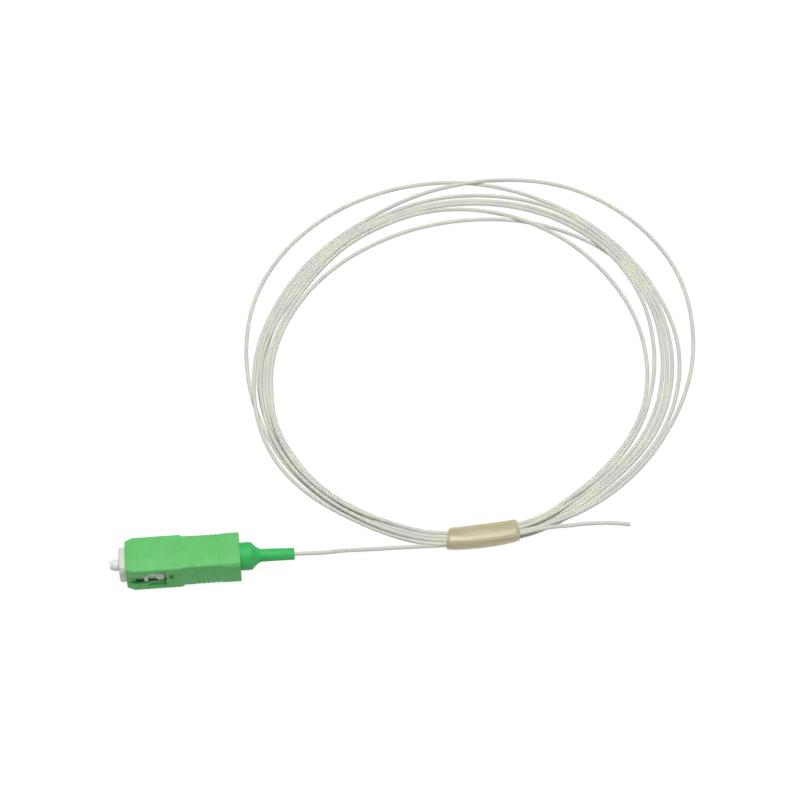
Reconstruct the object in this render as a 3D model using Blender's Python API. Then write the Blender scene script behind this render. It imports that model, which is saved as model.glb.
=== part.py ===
"""Fibre optic pigtail: an angled push-pull plug on a coil of buffered fibre.

Metres, +Z up.  The plug lies along X on its key, with the ferrule facing -X
and the fibre leaving its boot along +X.  The coil lies flat behind and beside
it, drawn together in a short sleeve.
"""

from math import cos, pi, radians, sin, tan

import bmesh
import bpy
from mathutils import Vector

MM = 0.001

# Clearances, and how far a cutter reaches past what it cuts
GAP = 0.30 * MM
SLIDE_GAP = 0.25 * MM
CUT_BEYOND = 1.00 * MM

# Flat sides round a turned piece
ROUND_SIDES = 32

# Fibre
FIBRE_DIAMETER = 0.90 * MM
FIBRE_BORE = FIBRE_DIAMETER + 2 * GAP

# Ferrule and the flange that is pressed on its back end
FERRULE_DIAMETER = 2.50 * MM
FERRULE_LENGTH = 10.50 * MM
FERRULE_TIP_DIAMETER = 1.70 * MM
FERRULE_TIP_CONE = 1.00 * MM
POLISH_ANGLE = radians(8)
FERRULE_SEAT_DEPTH = 1.50 * MM
FLANGE_WALL = 0.45 * MM
FLANGE_LENGTH = 3.00 * MM
FLANGE_TAIL_WALL = 0.25 * MM
FLANGE_TAIL_LENGTH = 4.50 * MM
FLANGE_DIAMETER = FERRULE_DIAMETER + 2 * GAP + 2 * FLANGE_WALL
FLANGE_TAIL_DIAMETER = FIBRE_BORE + 2 * FLANGE_TAIL_WALL

# Plug frame
FRAME_BORE = FLANGE_DIAMETER + 2 * GAP
FRAME_SIDE_WALL = 0.95 * MM
FRAME_TOP_WALL = 0.40 * MM
FRAME_WIDTH = FRAME_BORE + 2 * FRAME_SIDE_WALL
FRAME_HEIGHT = FRAME_BORE + 2 * FRAME_TOP_WALL
FRAME_CORNER = 0.80 * MM
FRAME_LENGTH = 21.15 * MM
FRAME_GUIDE_THICKNESS = 1.00 * MM
FRAME_LIP = 0.25 * MM
LUG_HALF_HEIGHT = 1.15 * MM
LUG_SLOPE_SHARE = 0.35
FRONT_LUG_STAND = 0.75 * MM
FRONT_LUG_LENGTH = 1.17 * MM
FRONT_LUG_SETBACK = 3.49 * MM
REAR_LUG_STAND = 0.50 * MM
REAR_LUG_LENGTH = 2.33 * MM
LUG_SPACING = 1.26 * MM

# Coupling sleeve, the green grip that slides on the frame
SLEEVE_SIDE_WALL = 1.00 * MM
SLEEVE_TOP_WALL = 0.75 * MM
SLEEVE_BORE_WIDTH = FRAME_WIDTH + 2 * SLIDE_GAP
SLEEVE_BORE_HEIGHT = FRAME_HEIGHT + 2 * SLIDE_GAP
SLEEVE_WIDTH = SLEEVE_BORE_WIDTH + 2 * SLEEVE_SIDE_WALL
SLEEVE_HEIGHT = SLEEVE_BORE_HEIGHT + 2 * SLEEVE_TOP_WALL
SLEEVE_CORNER = 0.20 * MM
SLEEVE_REAR_CORNER = 0.60 * MM
NOSE_LENGTH = 1.65 * MM
NOSE_CHAMFER = 0.70 * MM
NOSE_LIP = 0.15 * MM
BODY_LENGTH = 10.30 * MM
FRONT_STEP_LENGTH = 0.68 * MM
WAIST_LENGTH = 8.16 * MM
REAR_STEP_LENGTH = 1.16 * MM
REAR_LENGTH = 3.00 * MM
WAIST_SIDE_STEP = 0.35 * MM
WAIST_TOP_STEP = 0.16 * MM
REAR_SIDE_STEP = 0.05 * MM
REAR_TOP_STEP = 0.10 * MM
GRIP_GROOVES = 6
GRIP_PITCH = 1.02 * MM
GRIP_SETBACK = 0.44 * MM
GRIP_MOUTH = 0.58 * MM
GRIP_FLOOR = 0.24 * MM
GRIP_DEPTH = 0.08 * MM
KEY_WIDTH = 3.00 * MM
KEY_HEIGHT = 0.90 * MM
KEY_LENGTH = 6.30 * MM
KEY_SETBACK = 0.60 * MM
SLEEVE_FORWARD_TRAVEL = 0.30 * MM
SLEEVE_BACK_TRAVEL = 1.30 * MM
STOP_GAP = 0.10 * MM
WINDOW_LEDGE = 0.35 * MM
LATCH_SLOT_GAP = 0.30 * MM
LATCH_CHANNEL_DEPTH = 0.75 * MM
CAM_LENGTH = 2.14 * MM
CAM_SLOPE_LENGTH = 0.87 * MM
CAM_DEPTH = 0.65 * MM
POCKET_LENGTH = 0.97 * MM
POCKET_HEIGHT = 1.70 * MM
POCKET_DEPTH = 0.40 * MM
POCKET_SETBACK = 0.68 * MM

# Back post and boot
POST_WALL = 0.95 * MM
POST_DIAMETER = FIBRE_BORE + 2 * POST_WALL
POST_HEAD_LENGTH = 2.60 * MM
POST_STEM_LENGTH = 7.00 * MM
BOOT_COLLAR_WALL = 1.10 * MM
BOOT_COLLAR_DIAMETER = POST_DIAMETER + 2 * GAP + 2 * BOOT_COLLAR_WALL
BOOT_SLIM_WALL = 0.65 * MM
BOOT_SLIM_DIAMETER = POST_DIAMETER + 2 * GAP + 2 * BOOT_SLIM_WALL
BOOT_NECK_DIAMETER = 2.85 * MM
BOOT_END_DIAMETER = 2.60 * MM
BOOT_COLLAR_SHOWN = 2.66 * MM
BOOT_CONE_LENGTH = 2.14 * MM
BOOT_CONE_STEPS = 5
BOOT_TUBE_LENGTH = 7.10 * MM
BOOT_LEAD_IN = 3.00 * MM
SLEEVE_WAIST_BORE = BOOT_SLIM_DIAMETER + 2 * SLIDE_GAP
SLEEVE_REAR_BORE = BOOT_COLLAR_DIAMETER + 2 * SLIDE_GAP
SLEEVE_REAR_BORE_LENGTH = 3.40 * MM

# Ferrule spring
SPRING_WIRE = 0.50 * MM
SPRING_TURNS = 6
SPRING_STEPS_A_TURN = 16
SPRING_MEAN_DIAMETER = FLANGE_TAIL_DIAMETER + 2 * GAP + SPRING_WIRE

# How far the pieces stand out of each other along the plug, front to back
FERRULE_STANDOUT = 2.10 * MM
FRAME_STANDOUT = 1.45 * MM
SLEEVE_LENGTH = (
    NOSE_LENGTH
    + BODY_LENGTH
    + FRONT_STEP_LENGTH
    + WAIST_LENGTH
    + REAR_STEP_LENGTH
    + REAR_LENGTH
)
PLUG_LENGTH = (
    FERRULE_STANDOUT
    + FRAME_STANDOUT
    + SLEEVE_LENGTH
    + BOOT_COLLAR_SHOWN
    + BOOT_CONE_LENGTH
    + BOOT_TUBE_LENGTH
)

# Places along the plug's axis, with the plug's middle at X = 0
FERRULE_TIP_X = -PLUG_LENGTH / 2
FRAME_FRONT_X = FERRULE_TIP_X + FERRULE_STANDOUT
SLEEVE_FRONT_X = FRAME_FRONT_X + FRAME_STANDOUT
SLEEVE_REAR_X = SLEEVE_FRONT_X + SLEEVE_LENGTH
WAIST_FRONT_X = SLEEVE_FRONT_X + NOSE_LENGTH + BODY_LENGTH + FRONT_STEP_LENGTH
WAIST_REAR_X = WAIST_FRONT_X + WAIST_LENGTH
FRAME_REAR_X = FRAME_FRONT_X + FRAME_LENGTH
FRAME_BORE_END_X = FRAME_REAR_X + SLEEVE_FORWARD_TRAVEL + GAP
REAR_BORE_FRONT_X = SLEEVE_REAR_X - SLEEVE_REAR_BORE_LENGTH
BOOT_FRONT_X = FRAME_REAR_X + GAP
COLLAR_FRONT_X = REAR_BORE_FRONT_X + SLEEVE_BACK_TRAVEL + GAP
COLLAR_REAR_X = SLEEVE_REAR_X + BOOT_COLLAR_SHOWN
CONE_REAR_X = COLLAR_REAR_X + BOOT_CONE_LENGTH
BOOT_REAR_X = CONE_REAR_X + BOOT_TUBE_LENGTH
FERRULE_REAR_X = FERRULE_TIP_X + FERRULE_LENGTH
FLANGE_FRONT_X = FERRULE_REAR_X + GAP - FERRULE_SEAT_DEPTH
FLANGE_REAR_X = FLANGE_FRONT_X + FLANGE_LENGTH
GUIDE_REAR_X = FLANGE_FRONT_X - GAP
GUIDE_FRONT_X = GUIDE_REAR_X - FRAME_GUIDE_THICKNESS
POST_FRONT_X = FRAME_REAR_X - POST_HEAD_LENGTH

# Lugs on the frame's sides, and the window that they show through
FRONT_LUG_X = SLEEVE_FRONT_X + FRONT_LUG_SETBACK
REAR_LUG_X = FRONT_LUG_X + FRONT_LUG_LENGTH + LUG_SPACING
WINDOW_FRONT_X = FRONT_LUG_X - SLEEVE_BACK_TRAVEL - STOP_GAP
WINDOW_REAR_X = REAR_LUG_X + REAR_LUG_LENGTH + SLEEVE_FORWARD_TRAVEL + STOP_GAP
CAM_SLOPE_X = WINDOW_FRONT_X + CAM_LENGTH

# The axis lies this high when the key rests on the floor
AXIS_Z = KEY_HEIGHT + SLEEVE_HEIGHT / 2

# Coil: its middle, how high two layers of fibre lie, and the bundle's inner and outer
# edge by clock angle, in hundredths of the coil's radius
COIL_CENTRE = Vector((64.35 * MM, 52.60 * MM, 0))
COIL_RADIUS = 48.70 * MM
COIL_HEIGHT = 2 * FIBRE_DIAMETER + GAP / 3
COIL_EDGES = (
    (-102, 100.7, 108.1),
    (-93, 98.5, 105.9),
    (-84, 97.1, 104.5),
    (-72, 91.6, 101.8),
    (-60, 88.0, 101.0),
    (-48, 86.0, 100.6),
    (-36, 84.8, 100.8),
    (-24, 83.8, 102.2),
    (-12, 82.4, 104.6),
    (0, 81.4, 107.6),
    (12, 81.0, 111.0),
    (24, 81.2, 114.4),
    (36, 81.8, 116.2),
    (48, 83.4, 117.0),
    (60, 84.8, 116.4),
    (72, 84.6, 113.4),
    (84, 82.8, 109.0),
    (96, 81.8, 110.0),
    (108, 81.4, 111.2),
    (120, 81.8, 111.8),
    (132, 83.2, 112.0),
    (144, 85.4, 111.6),
    (156, 88.0, 110.8),
    (168, 90.8, 109.2),
    (180, 93.8, 107.8),
    (192, 96.6, 107.6),
    (204, 99.2, 109.8),
    (216, 99.8, 110.2),
    (228, 100.2, 108.8),
    (240, 99.6, 107.8),
    (252, 100.0, 108.4),
)
COIL_STEP = radians(6)
COIL_SIDES = 12
COIL_SQUARENESS = 0.75

# Tie: the short oval sleeve around the bundle
TIE_WALL = 0.60 * MM
TIE_BUNDLE_HEIGHT = 1.90 * MM
TIE_START = radians(-102)
TIE_END = radians(-83.5)
TIE_STATIONS = 7
TIE_APPROACH = radians(28)

# Route of the fibre from the boot to the coil, and of its free tail
LEAD_ROUTE = (
    (23.00, 0.00, 4.58),
    (26.40, 0.15, 4.00),
    (30.30, 0.65, 2.70),
    (34.20, 1.17, 1.45),
    (38.55, 1.64, 0.72),
    (42.90, 1.85, 0.50),
    (46.80, 1.81, 0.60),
    (50.30, 1.64, 1.00),
)
TAIL_ROUTE = (
    (78.45, 4.10, 1.45),
    (82.10, 4.58, 0.88),
    (85.95, 4.98, 0.50),
    (90.40, 4.75, 0.50),
    (95.00, 3.98, 0.50),
)
ROUTE_STEPS = 5


def clear_scene():
    """Take away whatever the file opened with."""
    for item in list(bpy.data.objects):
        bpy.data.objects.remove(item, do_unlink=True)


def linear(channel):
    """One sRGB channel, 0 to 1, as linear light."""
    if channel <= 0.04045:
        return channel / 12.92
    return ((channel + 0.055) / 1.055) ** 2.4


def make_material(name, hex_colour, roughness, metallic=0.0):
    """A Principled material in one colour."""
    material = bpy.data.materials.new(name)
    material.use_nodes = True
    shader = material.node_tree.nodes["Principled BSDF"]
    channels = [int(hex_colour[i : i + 2], 16) / 255 for i in (0, 2, 4)]
    shader.inputs["Base Color"].default_value = (*map(linear, channels), 1)
    shader.inputs["Roughness"].default_value = roughness
    shader.inputs["Metallic"].default_value = metallic
    return material


def add_object(name, data, material, on_axis=True):
    """Link data as an object, with its origin on the plug's axis or on the floor."""
    item = bpy.data.objects.new(name, data)
    item.location = (0, 0, AXIS_Z if on_axis else 0)
    data.materials.append(material)
    bpy.context.scene.collection.objects.link(item)
    return item


def add_mesh(name, bm, material, on_axis=True, smooth=False):
    """Turn a finished bmesh into an object."""
    bmesh.ops.recalc_face_normals(bm, faces=bm.faces)
    mesh = bpy.data.meshes.new(name)
    bm.to_mesh(mesh)
    bm.free()
    if smooth:
        mesh.shade_smooth()
        mesh.set_sharp_from_angle(angle=radians(35))
    return add_object(name, mesh, material, on_axis)


def turned(profile):
    """A closed (x, radius) outline spun about the plug's axis."""
    bm = bmesh.new()
    corners = [bm.verts.new((x, radius, 0)) for x, radius in profile]
    edges = [bm.edges.new((a, b)) for a, b in zip(corners, corners[1:] + corners[:1])]
    bmesh.ops.spin(
        bm,
        geom=corners + edges,
        cent=(0, 0, 0),
        axis=(1, 0, 0),
        angle=2 * pi,
        steps=ROUND_SIDES,
        use_merge=True,
    )
    bmesh.ops.remove_doubles(bm, verts=bm.verts, dist=0.001 * MM)
    return bm


def rectangle(half_width, half_height, corner):
    """The eight corners of a rectangle with its corners cut, in Y and Z."""
    y, z, c = half_width, half_height, corner
    return [
        (y, z - c),
        (y - c, z),
        (c - y, z),
        (-y, z - c),
        (-y, c - z),
        (c - y, -z),
        (y - c, -z),
        (y, c - z),
    ]


def lofted(sections):
    """A solid through (x, half width, half height, corner) sections along X."""
    bm = bmesh.new()
    x, *size = sections[0]
    face = bm.faces.new([bm.verts.new((x, y, z)) for y, z in rectangle(*size)])
    inner_faces = []
    for x, *size in sections[1:]:
        grown = bmesh.ops.extrude_face_region(bm, geom=[face])
        face = next(item for item in grown["geom"] if isinstance(item, bmesh.types.BMFace))
        for vert, (y, z) in zip(face.verts, rectangle(*size)):
            vert.co = (x, y, z)
        inner_faces.append(face)
    bmesh.ops.delete(bm, geom=inner_faces[:-1], context="FACES_ONLY")
    return bm


def block(low, high):
    """A box between two corners."""
    bm = bmesh.new()
    bmesh.ops.create_cube(bm, size=1)
    low, high = Vector(low), Vector(high)
    bmesh.ops.scale(bm, vec=high - low, verts=bm.verts)
    bmesh.ops.translate(bm, vec=(low + high) / 2, verts=bm.verts)
    return bm


def side_block(side, start_x, end_x, inner_y, outer_y, low_z, high_z):
    """A box on one side of the plug: side is 1 for the far one and -1 for the near one."""
    low_y, high_y = sorted((side * inner_y, side * outer_y))
    return block((start_x, low_y, low_z), (end_x, high_y, high_z))


def prism(outline, low_z, high_z):
    """An (x, y) outline extruded upwards."""
    bm = bmesh.new()
    base = bm.faces.new([bm.verts.new((x, y, low_z)) for x, y in outline])
    grown = bmesh.ops.extrude_face_region(bm, geom=[base])
    top = [item for item in grown["geom"] if isinstance(item, bmesh.types.BMVert)]
    bmesh.ops.translate(bm, vec=(0, 0, high_z - low_z), verts=top)
    return bm


def boolean(item, bm, operation, label, on_axis=True):
    """Cut a shape out of an object, or join it on."""
    tool = add_mesh(f"{item.name}_{label}", bm, item.data.materials[0], on_axis)
    tool.hide_render = True
    tool.display_type = "WIRE"
    step = item.modifiers.new(label, "BOOLEAN")
    step.object = tool
    step.operation = operation


def smooth_route(points, steps):
    """Points on a Catmull-Rom curve through a route's own points, in metres."""
    route = [Vector(point) * MM for point in points]
    ends = [2 * route[0] - route[1], *route, 2 * route[-1] - route[-2]]
    found = []
    for a, b, c, d in zip(ends, ends[1:], ends[2:], ends[3:]):
        for step in range(steps):
            t = step / steps
            found.append(
                0.5
                * (
                    2 * b
                    + (c - a) * t
                    + (2 * a - 5 * b + 4 * c - d) * t * t
                    + (3 * b - a - 3 * c + d) * t**3
                )
            )
    return found + [route[-1]]


def tube_curve(name, points, radius, material, resolution):
    """A round wire along a list of points, closed at both ends."""
    curve = bpy.data.curves.new(name, "CURVE")
    curve.dimensions = "3D"
    curve.bevel_depth = radius
    curve.bevel_resolution = resolution
    curve.use_fill_caps = True
    spline = curve.splines.new("POLY")
    spline.points.add(len(points) - 1)
    for point, place in zip(spline.points, points):
        point.co = (*place, 1)
    return add_object(name, curve, material, on_axis=False)


def make_ferrule(material):
    """Ceramic ferrule: a coned tip, polished at an angle that leans to the key."""
    radius = FERRULE_DIAMETER / 2
    tip = FERRULE_TIP_DIAMETER / 2
    profile = [
        (FERRULE_TIP_X, 0),
        (FERRULE_TIP_X, tip),
        (FERRULE_TIP_X + FERRULE_TIP_CONE, radius),
        (FERRULE_REAR_X, radius),
        (FERRULE_REAR_X, 0),
    ]
    bm = turned(profile)
    bmesh.ops.bisect_plane(
        bm,
        geom=bm.verts[:] + bm.edges[:] + bm.faces[:],
        plane_co=(FERRULE_TIP_X, 0, tip),
        plane_no=(-1, 0, -tan(POLISH_ANGLE)),
        clear_outer=True,
    )
    rim = [edge for edge in bm.edges if edge.is_boundary]
    bmesh.ops.holes_fill(bm, edges=rim, sides=0)
    return add_mesh("ferrule", bm, material, smooth=True)


def make_flange(material):
    """Metal flange: a socket for the ferrule, a head, and a tail for the fibre."""
    radius = FLANGE_DIAMETER / 2
    socket = FERRULE_DIAMETER / 2 + GAP
    bore = FIBRE_BORE / 2
    tail = FLANGE_TAIL_DIAMETER / 2
    floor_x = FLANGE_FRONT_X + FERRULE_SEAT_DEPTH
    tail_end = FLANGE_REAR_X + FLANGE_TAIL_LENGTH
    profile = [
        (FLANGE_FRONT_X, socket),
        (FLANGE_FRONT_X, radius),
        (FLANGE_REAR_X, radius),
        (FLANGE_REAR_X, tail),
        (tail_end, tail),
        (tail_end, bore),
        (floor_x, bore),
        (floor_x, socket),
    ]
    return add_mesh("ferrule_flange", turned(profile), material, smooth=True)


def make_spring(material):
    """Ferrule spring: a helix between the flange and the back post."""
    start = FLANGE_REAR_X + GAP + SPRING_WIRE / 2
    end = POST_FRONT_X - GAP - SPRING_WIRE / 2
    count = SPRING_TURNS * SPRING_STEPS_A_TURN
    points = []
    for i in range(count + 1):
        share = i / count
        angle = 2 * pi * SPRING_TURNS * share
        across = SPRING_MEAN_DIAMETER / 2 * cos(angle)
        up = SPRING_MEAN_DIAMETER / 2 * sin(angle)
        points.append((start + (end - start) * share, across, AXIS_Z + up))
    return tube_curve("ferrule_spring", points, SPRING_WIRE / 2, material, 1)


def lug_outline(start, length, side, root, face):
    """One lug from above: a sloped front and a square back."""
    slope = length * LUG_SLOPE_SHARE
    return [
        (start, side * root),
        (start + slope, side * face),
        (start + length, side * face),
        (start + length, side * root),
    ]


def make_plug_frame(material):
    """White plug frame: an open nose round the ferrule, with lugs on both sides."""
    half_width = FRAME_WIDTH / 2
    half_height = FRAME_HEIGHT / 2
    size = (half_width, half_height, FRAME_CORNER)
    slim = (half_width - FRAME_LIP, half_height - FRAME_LIP, FRAME_CORNER)
    item = add_mesh(
        "plug_frame",
        lofted(
            [
                (FRAME_FRONT_X, *slim),
                (FRAME_FRONT_X + FRAME_LIP, *size),
                (FRAME_REAR_X, *size),
            ]
        ),
        material,
    )
    for side, word in ((1, "far"), (-1, "near")):
        for start, length, stand, place in (
            (FRONT_LUG_X, FRONT_LUG_LENGTH, FRONT_LUG_STAND, "front"),
            (REAR_LUG_X, REAR_LUG_LENGTH, REAR_LUG_STAND, "rear"),
        ):
            outline = lug_outline(start, length, side, half_width - GAP, half_width + stand)
            lug = prism(outline, -LUG_HALF_HEIGHT, LUG_HALF_HEIGHT)
            boolean(item, lug, "UNION", f"{word}_{place}_lug")
    radius = FRAME_BORE / 2
    guide = FERRULE_DIAMETER / 2 + GAP
    bore = [
        (FRAME_FRONT_X - CUT_BEYOND, 0),
        (FRAME_FRONT_X - CUT_BEYOND, radius),
        (GUIDE_FRONT_X, radius),
        (GUIDE_FRONT_X, guide),
        (GUIDE_REAR_X, guide),
        (GUIDE_REAR_X, radius),
        (FRAME_REAR_X + CUT_BEYOND, radius),
        (FRAME_REAR_X + CUT_BEYOND, 0),
    ]
    boolean(item, turned(bore), "DIFFERENCE", "bore")
    return item


def sleeve_sections():
    """The grip's outside, front to back, with its grooves across the waist."""
    half_width = SLEEVE_WIDTH / 2
    half_height = SLEEVE_HEIGHT / 2
    body = (half_width, half_height, SLEEVE_CORNER)
    nose = (half_width - NOSE_CHAMFER, half_height - NOSE_LIP, SLEEVE_CORNER)
    waist = (half_width - WAIST_SIDE_STEP, half_height - WAIST_TOP_STEP, SLEEVE_CORNER)
    groove = (waist[0] - GRIP_DEPTH, waist[1] - GRIP_DEPTH, SLEEVE_CORNER)
    rear = (half_width - REAR_SIDE_STEP, half_height - REAR_TOP_STEP, SLEEVE_REAR_CORNER)
    sections = [
        (SLEEVE_FRONT_X, *nose),
        (SLEEVE_FRONT_X + NOSE_LENGTH, *body),
        (WAIST_FRONT_X - FRONT_STEP_LENGTH, *body),
        (WAIST_FRONT_X, *waist),
    ]
    first_groove = WAIST_REAR_X - GRIP_SETBACK - (GRIP_GROOVES - 1) * GRIP_PITCH
    for number in range(GRIP_GROOVES):
        x = first_groove + number * GRIP_PITCH
        sections += [
            (x - GRIP_MOUTH / 2, *waist),
            (x - GRIP_FLOOR / 2, *groove),
            (x + GRIP_FLOOR / 2, *groove),
            (x + GRIP_MOUTH / 2, *waist),
        ]
    sections += [
        (WAIST_REAR_X, *waist),
        (WAIST_REAR_X + REAR_STEP_LENGTH, *rear),
        (SLEEVE_REAR_X, *rear),
    ]
    return sections


def make_coupling_sleeve(material):
    """Green coupling sleeve: grip, key, and a latch window on each side."""
    item = add_mesh("coupling_sleeve", lofted(sleeve_sections()), material)
    half_width = SLEEVE_WIDTH / 2
    half_height = SLEEVE_HEIGHT / 2
    key_front = SLEEVE_FRONT_X + KEY_SETBACK
    key = block(
        (key_front, -KEY_WIDTH / 2, -half_height - KEY_HEIGHT),
        (key_front + KEY_LENGTH, KEY_WIDTH / 2, -half_height + SLEEVE_TOP_WALL / 2),
    )
    boolean(item, key, "UNION", "key")

    bore = block(
        (SLEEVE_FRONT_X - CUT_BEYOND, -SLEEVE_BORE_WIDTH / 2, -SLEEVE_BORE_HEIGHT / 2),
        (FRAME_BORE_END_X, SLEEVE_BORE_WIDTH / 2, SLEEVE_BORE_HEIGHT / 2),
    )
    boolean(item, bore, "DIFFERENCE", "frame_bore")
    rear_bore = [
        (FRAME_BORE_END_X - CUT_BEYOND, 0),
        (FRAME_BORE_END_X - CUT_BEYOND, SLEEVE_WAIST_BORE / 2),
        (REAR_BORE_FRONT_X, SLEEVE_WAIST_BORE / 2),
        (REAR_BORE_FRONT_X, SLEEVE_REAR_BORE / 2),
        (SLEEVE_REAR_X + CUT_BEYOND, SLEEVE_REAR_BORE / 2),
        (SLEEVE_REAR_X + CUT_BEYOND, 0),
    ]
    boolean(item, turned(rear_bore), "DIFFERENCE", "boot_bore")

    slot_half = LUG_HALF_HEIGHT + LATCH_SLOT_GAP
    outside = half_width + CUT_BEYOND
    slot = block(
        (WINDOW_FRONT_X, -outside, -slot_half),
        (WINDOW_REAR_X, outside, slot_half),
    )
    boolean(item, slot, "DIFFERENCE", "latch_slot")
    for side, word in ((1, "far"), (-1, "near")):
        channel = side_block(
            side,
            SLEEVE_FRONT_X - CUT_BEYOND,
            WINDOW_FRONT_X + GAP,
            half_width - LATCH_CHANNEL_DEPTH,
            outside,
            -slot_half,
            slot_half,
        )
        boolean(item, channel, "DIFFERENCE", f"{word}_channel")
        cam = [
            (CAM_SLOPE_X, side * outside),
            (CAM_SLOPE_X, side * half_width),
            (CAM_SLOPE_X + CAM_SLOPE_LENGTH, side * (half_width - CAM_DEPTH)),
            (WINDOW_REAR_X, side * (half_width - CAM_DEPTH)),
            (WINDOW_REAR_X, side * outside),
        ]
        window_half = SLEEVE_BORE_HEIGHT / 2 - WINDOW_LEDGE
        boolean(item, prism(cam, -window_half, window_half), "DIFFERENCE", f"{word}_cam")
        pocket_front = WINDOW_REAR_X + POCKET_SETBACK
        pocket = side_block(
            side,
            pocket_front,
            pocket_front + POCKET_LENGTH,
            half_width - POCKET_DEPTH,
            outside,
            0,
            POCKET_HEIGHT,
        )
        boolean(item, pocket, "DIFFERENCE", f"{word}_pocket")
    return item


def make_back_post(material):
    """Back post: a head inside the frame, and a stem that the boot grips."""
    bore = FIBRE_BORE / 2 + GAP / 2
    head = FRAME_BORE / 2 - GAP
    stem = POST_DIAMETER / 2
    stem_end = FRAME_REAR_X + POST_STEM_LENGTH
    profile = [
        (POST_FRONT_X, bore),
        (POST_FRONT_X, head),
        (FRAME_REAR_X, head),
        (FRAME_REAR_X, stem),
        (stem_end, stem),
        (stem_end, bore),
    ]
    return add_mesh("back_post", turned(profile), material, smooth=True)


def make_boot(material):
    """Green rubber boot: a collar in the grip's mouth, a hollow cone and a tube."""
    collar = BOOT_COLLAR_DIAMETER / 2
    slim = BOOT_SLIM_DIAMETER / 2
    socket = POST_DIAMETER / 2 + GAP
    bore = FIBRE_BORE / 2
    neck = BOOT_NECK_DIAMETER / 2
    socket_end = FRAME_REAR_X + POST_STEM_LENGTH + GAP
    outside = [(BOOT_FRONT_X, slim), (COLLAR_FRONT_X, slim), (COLLAR_FRONT_X, collar)]
    for step in range(BOOT_CONE_STEPS + 1):
        share = step / BOOT_CONE_STEPS
        x = COLLAR_REAR_X + BOOT_CONE_LENGTH * share
        outside.append((x, neck + (collar - neck) * (1 - share) ** 2))
    profile = [
        (BOOT_FRONT_X, socket),
        *outside,
        (BOOT_REAR_X, BOOT_END_DIAMETER / 2),
        (BOOT_REAR_X, bore),
        (socket_end, bore),
        (socket_end, socket),
    ]
    return add_mesh("boot", turned(profile), material, smooth=True)


def coil_edges(angle):
    """The bundle's inner and outer radius at an angle, smoothly between the listed ones."""
    hundredth = COIL_RADIUS / 100
    listed = [(radians(a), inner * hundredth, outer * hundredth) for a, inner, outer in COIL_EDGES]
    first = listed[0][0]
    angle = first + (angle - first) % (2 * pi)
    count = len(listed)
    k = max(i for i in range(count) if listed[i][0] <= angle)
    around = []
    for i in range(k - 1, k + 3):
        turn = 2 * pi * (i // count)
        a, inner, outer = listed[i % count]
        around.append((a + turn, inner, outer))
    (a0, *p0), (a1, *p1), (a2, *p2), (a3, *p3) = around
    t = (angle - a1) / (a2 - a1)
    found = []
    for before, here, there, after in zip(p0, p1, p2, p3):
        slope_here = (there - before) / (a2 - a0) * (a2 - a1)
        slope_there = (after - here) / (a3 - a1) * (a2 - a1)
        found.append(
            (2 * t**3 - 3 * t**2 + 1) * here
            + (t**3 - 2 * t**2 + t) * slope_here
            + (3 * t**2 - 2 * t**3) * there
            + (t**3 - t**2) * slope_there
        )
    return found


def bundle_section(angle):
    """Middle, half width and half height of the bundle at an angle."""
    inner, outer = coil_edges(angle)
    past = (angle - TIE_START) % (2 * pi)
    inside = TIE_END - TIE_START
    if past > inside:
        away = min(past - inside, 2 * pi - past)
    else:
        away = 0
    share = min(1, away / TIE_APPROACH)
    share = share * share * (3 - 2 * share)
    tied_low = TIE_WALL + GAP
    low = tied_low * (1 - share)
    high = (tied_low + TIE_BUNDLE_HEIGHT) * (1 - share) + COIL_HEIGHT * share
    radius = (inner + outer) / 2
    middle = COIL_CENTRE + Vector((radius * cos(angle), radius * sin(angle), (low + high) / 2))
    return middle, (outer - inner) / 2, (high - low) / 2


def oval(angle, extra):
    """The bundle's oval section at an angle, grown by extra, as points in space."""
    middle, half_width, half_height = bundle_section(angle)
    outwards = Vector((cos(angle), sin(angle), 0))
    turns = [2 * pi * (i + 0.5) / COIL_SIDES for i in range(COIL_SIDES)]
    highest = max(sin(turn) for turn in turns) ** COIL_SQUARENESS
    points = []
    for turn in turns:
        across = abs(cos(turn)) ** COIL_SQUARENESS * (1 if cos(turn) > 0 else -1)
        up = abs(sin(turn)) ** COIL_SQUARENESS * (1 if sin(turn) > 0 else -1) / highest
        reach = outwards * (half_width + extra) * across
        points.append(middle + reach + Vector((0, 0, (half_height + extra) * up)))
    return points


def add_ring(bm, points):
    """A closed loop of edges through some points."""
    verts = [bm.verts.new(point) for point in points]
    return [bm.edges.new((a, b)) for a, b in zip(verts, verts[1:] + verts[:1])]


def swept_oval(angles, extra, closed):
    """A solid of the bundle's section, grown by extra, along a run of angles."""
    bm = bmesh.new()
    rings = [add_ring(bm, oval(angle, extra)) for angle in angles]
    ahead = rings[1:] + rings[:1] if closed else rings[1:]
    for a, b in zip(rings, ahead):
        bmesh.ops.bridge_loops(bm, edges=a + b)
    if not closed:
        bmesh.ops.holes_fill(bm, edges=rings[0] + rings[-1], sides=0)
    return bm


def make_coil(material):
    """The bundle of turns as one closed ring, slimmer where the tie holds it."""
    count = round(2 * pi / COIL_STEP)
    angles = [i * 2 * pi / count for i in range(count)]
    ring = swept_oval(angles, 0, closed=True)
    return add_mesh("fibre_coil", ring, material, on_axis=False, smooth=True)


def make_tie(material):
    """The short oval sleeve that holds the bundle together."""
    step = (TIE_END - TIE_START) / (TIE_STATIONS - 1)
    angles = [TIE_START + step * i for i in range(TIE_STATIONS)]
    beyond = [angles[0] - step / 2, *angles, angles[-1] + step / 2]
    outside = swept_oval(angles, GAP + TIE_WALL, closed=False)
    item = add_mesh("coil_tie", outside, material, on_axis=False, smooth=True)
    boolean(item, swept_oval(beyond, GAP, closed=False), "DIFFERENCE", "bore", on_axis=False)
    return item


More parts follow.
